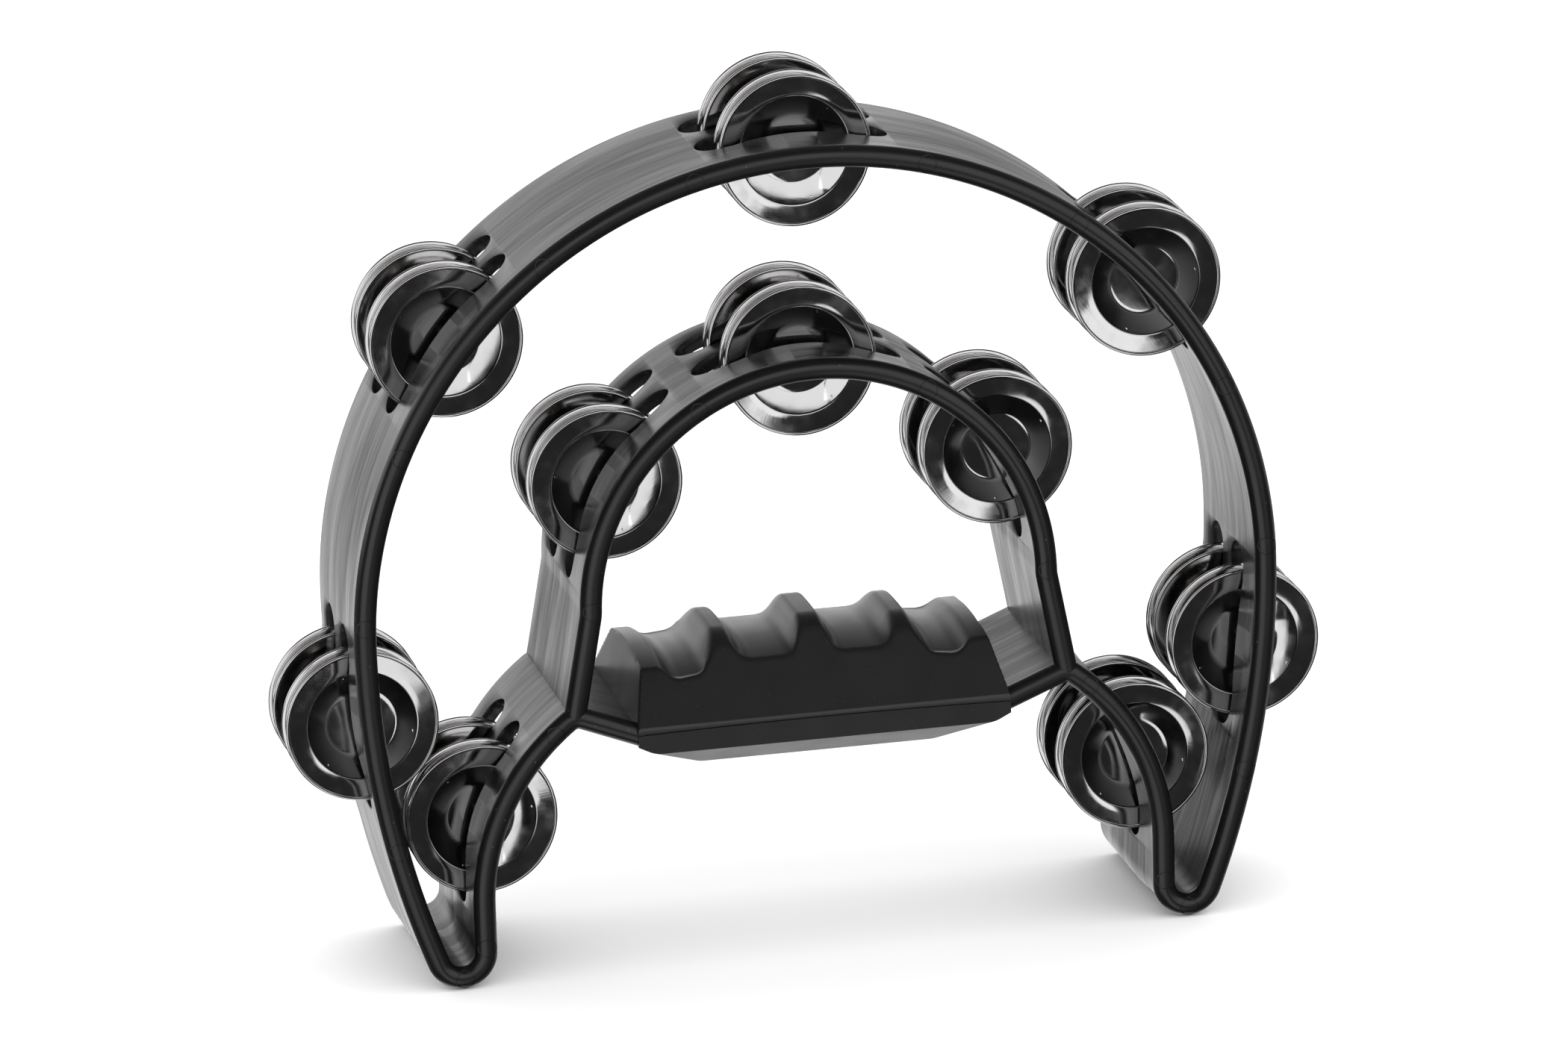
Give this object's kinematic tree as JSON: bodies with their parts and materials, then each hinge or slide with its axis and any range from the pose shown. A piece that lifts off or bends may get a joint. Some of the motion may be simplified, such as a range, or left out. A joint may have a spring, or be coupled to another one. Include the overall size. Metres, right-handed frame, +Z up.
{
  "type": "tambourine",
  "caption": "Half-moon tambourine with a double-arch plastic frame, a hand grip with finger grooves and pairs of loose steel jingles on pins.",
  "frame": {"origin": "on the surface the two horn tips stand on, midway between the tips and midway between front and back", "axes": "+X to the right seen from the front, +Y from the beaded front towards the back, +Z up through the grip to the top of the arch"},
  "size_m": [0.293, 0.061, 0.2458],
  "materials": {
    "frame_abs": "injection-moulded black ABS, semi-gloss",
    "grip_abs": "injection-moulded black ABS, finely textured and matte",
    "jingle_steel": "spun and stamped steel sheet, bright nickel plated",
    "pin_steel": "drawn steel wire nail, bright",
    "screw_steel": "zinc-plated steel screw"
  },
  "bodies": {
    "frame_and_grip": {"frame": "frame_abs", "grip_upper": "grip_abs", "grip_cover": "grip_abs", "grip_screws": "screw_steel", "pin_outer_top": "pin_steel", "pin_outer_upper_left": "pin_steel", "pin_outer_upper_right": "pin_steel", "pin_outer_lower_left": "pin_steel", "pin_outer_lower_right": "pin_steel", "pin_inner_top": "pin_steel", "pin_inner_upper_left": "pin_steel", "pin_inner_upper_right": "pin_steel", "pin_inner_lower_left": "pin_steel", "pin_inner_lower_right": "pin_steel"},
    "jingle_outer_top_front_fore_body": {"jingle_outer_top_front_fore": "jingle_steel"},
    "jingle_outer_top_front_aft_body": {"jingle_outer_top_front_aft": "jingle_steel"},
    "jingle_outer_top_back_fore_body": {"jingle_outer_top_back_fore": "jingle_steel"},
    "jingle_outer_top_back_aft_body": {"jingle_outer_top_back_aft": "jingle_steel"},
    "jingle_outer_upper_left_front_fore_body": {"jingle_outer_upper_left_front_fore": "jingle_steel"},
    "jingle_outer_upper_left_front_aft_body": {"jingle_outer_upper_left_front_aft": "jingle_steel"},
    "jingle_outer_upper_left_back_fore_body": {"jingle_outer_upper_left_back_fore": "jingle_steel"},
    "jingle_outer_upper_left_back_aft_body": {"jingle_outer_upper_left_back_aft": "jingle_steel"},
    "jingle_outer_upper_right_front_fore_body": {"jingle_outer_upper_right_front_fore": "jingle_steel"},
    "jingle_outer_upper_right_front_aft_body": {"jingle_outer_upper_right_front_aft": "jingle_steel"},
    "jingle_outer_upper_right_back_fore_body": {"jingle_outer_upper_right_back_fore": "jingle_steel"},
    "jingle_outer_upper_right_back_aft_body": {"jingle_outer_upper_right_back_aft": "jingle_steel"},
    "jingle_outer_lower_left_front_fore_body": {"jingle_outer_lower_left_front_fore": "jingle_steel"},
    "jingle_outer_lower_left_front_aft_body": {"jingle_outer_lower_left_front_aft": "jingle_steel"},
    "jingle_outer_lower_left_back_fore_body": {"jingle_outer_lower_left_back_fore": "jingle_steel"},
    "jingle_outer_lower_left_back_aft_body": {"jingle_outer_lower_left_back_aft": "jingle_steel"},
    "jingle_outer_lower_right_front_fore_body": {"jingle_outer_lower_right_front_fore": "jingle_steel"},
    "jingle_outer_lower_right_front_aft_body": {"jingle_outer_lower_right_front_aft": "jingle_steel"},
    "jingle_outer_lower_right_back_fore_body": {"jingle_outer_lower_right_back_fore": "jingle_steel"},
    "jingle_outer_lower_right_back_aft_body": {"jingle_outer_lower_right_back_aft": "jingle_steel"},
    "jingle_inner_top_front_fore_body": {"jingle_inner_top_front_fore": "jingle_steel"},
    "jingle_inner_top_front_aft_body": {"jingle_inner_top_front_aft": "jingle_steel"},
    "jingle_inner_top_back_fore_body": {"jingle_inner_top_back_fore": "jingle_steel"},
    "jingle_inner_top_back_aft_body": {"jingle_inner_top_back_aft": "jingle_steel"},
    "jingle_inner_upper_left_front_fore_body": {"jingle_inner_upper_left_front_fore": "jingle_steel"},
    "jingle_inner_upper_left_front_aft_body": {"jingle_inner_upper_left_front_aft": "jingle_steel"},
    "jingle_inner_upper_left_back_fore_body": {"jingle_inner_upper_left_back_fore": "jingle_steel"},
    "jingle_inner_upper_left_back_aft_body": {"jingle_inner_upper_left_back_aft": "jingle_steel"},
    "jingle_inner_upper_right_front_fore_body": {"jingle_inner_upper_right_front_fore": "jingle_steel"},
    "jingle_inner_upper_right_front_aft_body": {"jingle_inner_upper_right_front_aft": "jingle_steel"},
    "jingle_inner_upper_right_back_fore_body": {"jingle_inner_upper_right_back_fore": "jingle_steel"},
    "jingle_inner_upper_right_back_aft_body": {"jingle_inner_upper_right_back_aft": "jingle_steel"},
    "jingle_inner_lower_left_front_fore_body": {"jingle_inner_lower_left_front_fore": "jingle_steel"},
    "jingle_inner_lower_left_front_aft_body": {"jingle_inner_lower_left_front_aft": "jingle_steel"},
    "jingle_inner_lower_left_back_fore_body": {"jingle_inner_lower_left_back_fore": "jingle_steel"},
    "jingle_inner_lower_left_back_aft_body": {"jingle_inner_lower_left_back_aft": "jingle_steel"},
    "jingle_inner_lower_right_front_fore_body": {"jingle_inner_lower_right_front_fore": "jingle_steel"},
    "jingle_inner_lower_right_front_aft_body": {"jingle_inner_lower_right_front_aft": "jingle_steel"},
    "jingle_inner_lower_right_back_fore_body": {"jingle_inner_lower_right_back_fore": "jingle_steel"},
    "jingle_inner_lower_right_back_aft_body": {"jingle_inner_lower_right_back_aft": "jingle_steel"}
  },
  "joints": [
    {"name": "spin_outer_top_front_fore", "type": "hinge", "parent": "frame_and_grip", "child": "jingle_outer_top_front_fore_body", "pos_m": [0, -0.0088, 0.2246], "axis": [0, 1, 0], "continuous": true},
    {"name": "slide_outer_top_front_aft", "type": "slide", "parent": "frame_and_grip", "child": "jingle_outer_top_front_aft_body", "axis": [0, 1, 0], "range_m": [0, 0.0036]},
    {"name": "spin_outer_top_back_fore", "type": "hinge", "parent": "frame_and_grip", "child": "jingle_outer_top_back_fore_body", "pos_m": [0, 0.0116, 0.2246], "axis": [0, 1, 0], "continuous": true},
    {"name": "slide_outer_top_back_aft", "type": "slide", "parent": "frame_and_grip", "child": "jingle_outer_top_back_aft_body", "axis": [0, 1, 0], "range_m": [0, 0.0036]},
    {"name": "spin_outer_upper_left_front_fore", "type": "hinge", "parent": "frame_and_grip", "child": "jingle_outer_upper_left_front_fore_body", "pos_m": [-0.09811, -0.0088, 0.17922], "axis": [0, 1, 0], "continuous": true},
    {"name": "slide_outer_upper_left_front_aft", "type": "slide", "parent": "frame_and_grip", "child": "jingle_outer_upper_left_front_aft_body", "axis": [0, 1, 0], "range_m": [0, 0.0036]},
    {"name": "spin_outer_upper_left_back_fore", "type": "hinge", "parent": "frame_and_grip", "child": "jingle_outer_upper_left_back_fore_body", "pos_m": [-0.09811, 0.0116, 0.17922], "axis": [0, 1, 0], "continuous": true},
    {"name": "slide_outer_upper_left_back_aft", "type": "slide", "parent": "frame_and_grip", "child": "jingle_outer_upper_left_back_aft_body", "axis": [0, 1, 0], "range_m": [0, 0.0036]},
    {"name": "spin_outer_upper_right_front_fore", "type": "hinge", "parent": "frame_and_grip", "child": "jingle_outer_upper_right_front_fore_body", "pos_m": [0.09811, -0.0088, 0.17922], "axis": [0, 1, 0], "continuous": true},
    {"name": "slide_outer_upper_right_front_aft", "type": "slide", "parent": "frame_and_grip", "child": "jingle_outer_upper_right_front_aft_body", "axis": [0, 1, 0], "range_m": [0, 0.0036]},
    {"name": "spin_outer_upper_right_back_fore", "type": "hinge", "parent": "frame_and_grip", "child": "jingle_outer_upper_right_back_fore_body", "pos_m": [0.09811, 0.0116, 0.17922], "axis": [0, 1, 0], "continuous": true},
    {"name": "slide_outer_upper_right_back_aft", "type": "slide", "parent": "frame_and_grip", "child": "jingle_outer_upper_right_back_aft_body", "axis": [0, 1, 0], "range_m": [0, 0.0036]},
    {"name": "spin_outer_lower_left_front_fore", "type": "hinge", "parent": "frame_and_grip", "child": "jingle_outer_lower_left_front_fore_body", "pos_m": [-0.12522, -0.0088, 0.07244], "axis": [0, 1, 0], "continuous": true},
    {"name": "slide_outer_lower_left_front_aft", "type": "slide", "parent": "frame_and_grip", "child": "jingle_outer_lower_left_front_aft_body", "axis": [0, 1, 0], "range_m": [0, 0.0036]},
    {"name": "spin_outer_lower_left_back_fore", "type": "hinge", "parent": "frame_and_grip", "child": "jingle_outer_lower_left_back_fore_body", "pos_m": [-0.12522, 0.0116, 0.07244], "axis": [0, 1, 0], "continuous": true},
    {"name": "slide_outer_lower_left_back_aft", "type": "slide", "parent": "frame_and_grip", "child": "jingle_outer_lower_left_back_aft_body", "axis": [0, 1, 0], "range_m": [0, 0.0036]},
    {"name": "spin_outer_lower_right_front_fore", "type": "hinge", "parent": "frame_and_grip", "child": "jingle_outer_lower_right_front_fore_body", "pos_m": [0.12522, -0.0088, 0.07244], "axis": [0, 1, 0], "continuous": true},
    {"name": "slide_outer_lower_right_front_aft", "type": "slide", "parent": "frame_and_grip", "child": "jingle_outer_lower_right_front_aft_body", "axis": [0, 1, 0], "range_m": [0, 0.0036]},
    {"name": "spin_outer_lower_right_back_fore", "type": "hinge", "parent": "frame_and_grip", "child": "jingle_outer_lower_right_back_fore_body", "pos_m": [0.12522, 0.0116, 0.07244], "axis": [0, 1, 0], "continuous": true},
    {"name": "slide_outer_lower_right_back_aft", "type": "slide", "parent": "frame_and_grip", "child": "jingle_outer_lower_right_back_aft_body", "axis": [0, 1, 0], "range_m": [0, 0.0036]},
    {"name": "spin_inner_top_front_fore", "type": "hinge", "parent": "frame_and_grip", "child": "jingle_inner_top_front_fore_body", "pos_m": [0, -0.0088, 0.1652], "axis": [0, 1, 0], "continuous": true},
    {"name": "slide_inner_top_front_aft", "type": "slide", "parent": "frame_and_grip", "child": "jingle_inner_top_front_aft_body", "axis": [0, 1, 0], "range_m": [0, 0.0036]},
    {"name": "spin_inner_top_back_fore", "type": "hinge", "parent": "frame_and_grip", "child": "jingle_inner_top_back_fore_body", "pos_m": [0, 0.0116, 0.1652], "axis": [0, 1, 0], "continuous": true},
    {"name": "slide_inner_top_back_aft", "type": "slide", "parent": "frame_and_grip", "child": "jingle_inner_top_back_aft_body", "axis": [0, 1, 0], "range_m": [0, 0.0036]},
    {"name": "spin_inner_upper_left_front_fore", "type": "hinge", "parent": "frame_and_grip", "child": "jingle_inner_upper_left_front_fore_body", "pos_m": [-0.05509, -0.0088, 0.13498], "axis": [0, 1, 0], "continuous": true},
    {"name": "slide_inner_upper_left_front_aft", "type": "slide", "parent": "frame_and_grip", "child": "jingle_inner_upper_left_front_aft_body", "axis": [0, 1, 0], "range_m": [0, 0.0036]},
    {"name": "spin_inner_upper_left_back_fore", "type": "hinge", "parent": "frame_and_grip", "child": "jingle_inner_upper_left_back_fore_body", "pos_m": [-0.05509, 0.0116, 0.13498], "axis": [0, 1, 0], "continuous": true},
    {"name": "slide_inner_upper_left_back_aft", "type": "slide", "parent": "frame_and_grip", "child": "jingle_inner_upper_left_back_aft_body", "axis": [0, 1, 0], "range_m": [0, 0.0036]},
    {"name": "spin_inner_upper_right_front_fore", "type": "hinge", "parent": "frame_and_grip", "child": "jingle_inner_upper_right_front_fore_body", "pos_m": [0.05509, -0.0088, 0.13498], "axis": [0, 1, 0], "continuous": true},
    {"name": "slide_inner_upper_right_front_aft", "type": "slide", "parent": "frame_and_grip", "child": "jingle_inner_upper_right_front_aft_body", "axis": [0, 1, 0], "range_m": [0, 0.0036]},
    {"name": "spin_inner_upper_right_back_fore", "type": "hinge", "parent": "frame_and_grip", "child": "jingle_inner_upper_right_back_fore_body", "pos_m": [0.05509, 0.0116, 0.13498], "axis": [0, 1, 0], "continuous": true},
    {"name": "slide_inner_upper_right_back_aft", "type": "slide", "parent": "frame_and_grip", "child": "jingle_inner_upper_right_back_aft_body", "axis": [0, 1, 0], "range_m": [0, 0.0036]},
    {"name": "spin_inner_lower_left_front_fore", "type": "hinge", "parent": "frame_and_grip", "child": "jingle_inner_lower_left_front_fore_body", "pos_m": [-0.09294, -0.0088, 0.04229], "axis": [0, 1, 0], "continuous": true},
    {"name": "slide_inner_lower_left_front_aft", "type": "slide", "parent": "frame_and_grip", "child": "jingle_inner_lower_left_front_aft_body", "axis": [0, 1, 0], "range_m": [0, 0.0036]},
    {"name": "spin_inner_lower_left_back_fore", "type": "hinge", "parent": "frame_and_grip", "child": "jingle_inner_lower_left_back_fore_body", "pos_m": [-0.09294, 0.0116, 0.04229], "axis": [0, 1, 0], "continuous": true},
    {"name": "slide_inner_lower_left_back_aft", "type": "slide", "parent": "frame_and_grip", "child": "jingle_inner_lower_left_back_aft_body", "axis": [0, 1, 0], "range_m": [0, 0.0036]},
    {"name": "spin_inner_lower_right_front_fore", "type": "hinge", "parent": "frame_and_grip", "child": "jingle_inner_lower_right_front_fore_body", "pos_m": [0.09294, -0.0088, 0.04229], "axis": [0, 1, 0], "continuous": true},
    {"name": "slide_inner_lower_right_front_aft", "type": "slide", "parent": "frame_and_grip", "child": "jingle_inner_lower_right_front_aft_body", "axis": [0, 1, 0], "range_m": [0, 0.0036]},
    {"name": "spin_inner_lower_right_back_fore", "type": "hinge", "parent": "frame_and_grip", "child": "jingle_inner_lower_right_back_fore_body", "pos_m": [0.09294, 0.0116, 0.04229], "axis": [0, 1, 0], "continuous": true},
    {"name": "slide_inner_lower_right_back_aft", "type": "slide", "parent": "frame_and_grip", "child": "jingle_inner_lower_right_back_aft_body", "axis": [0, 1, 0], "range_m": [0, 0.0036]}
  ]
}
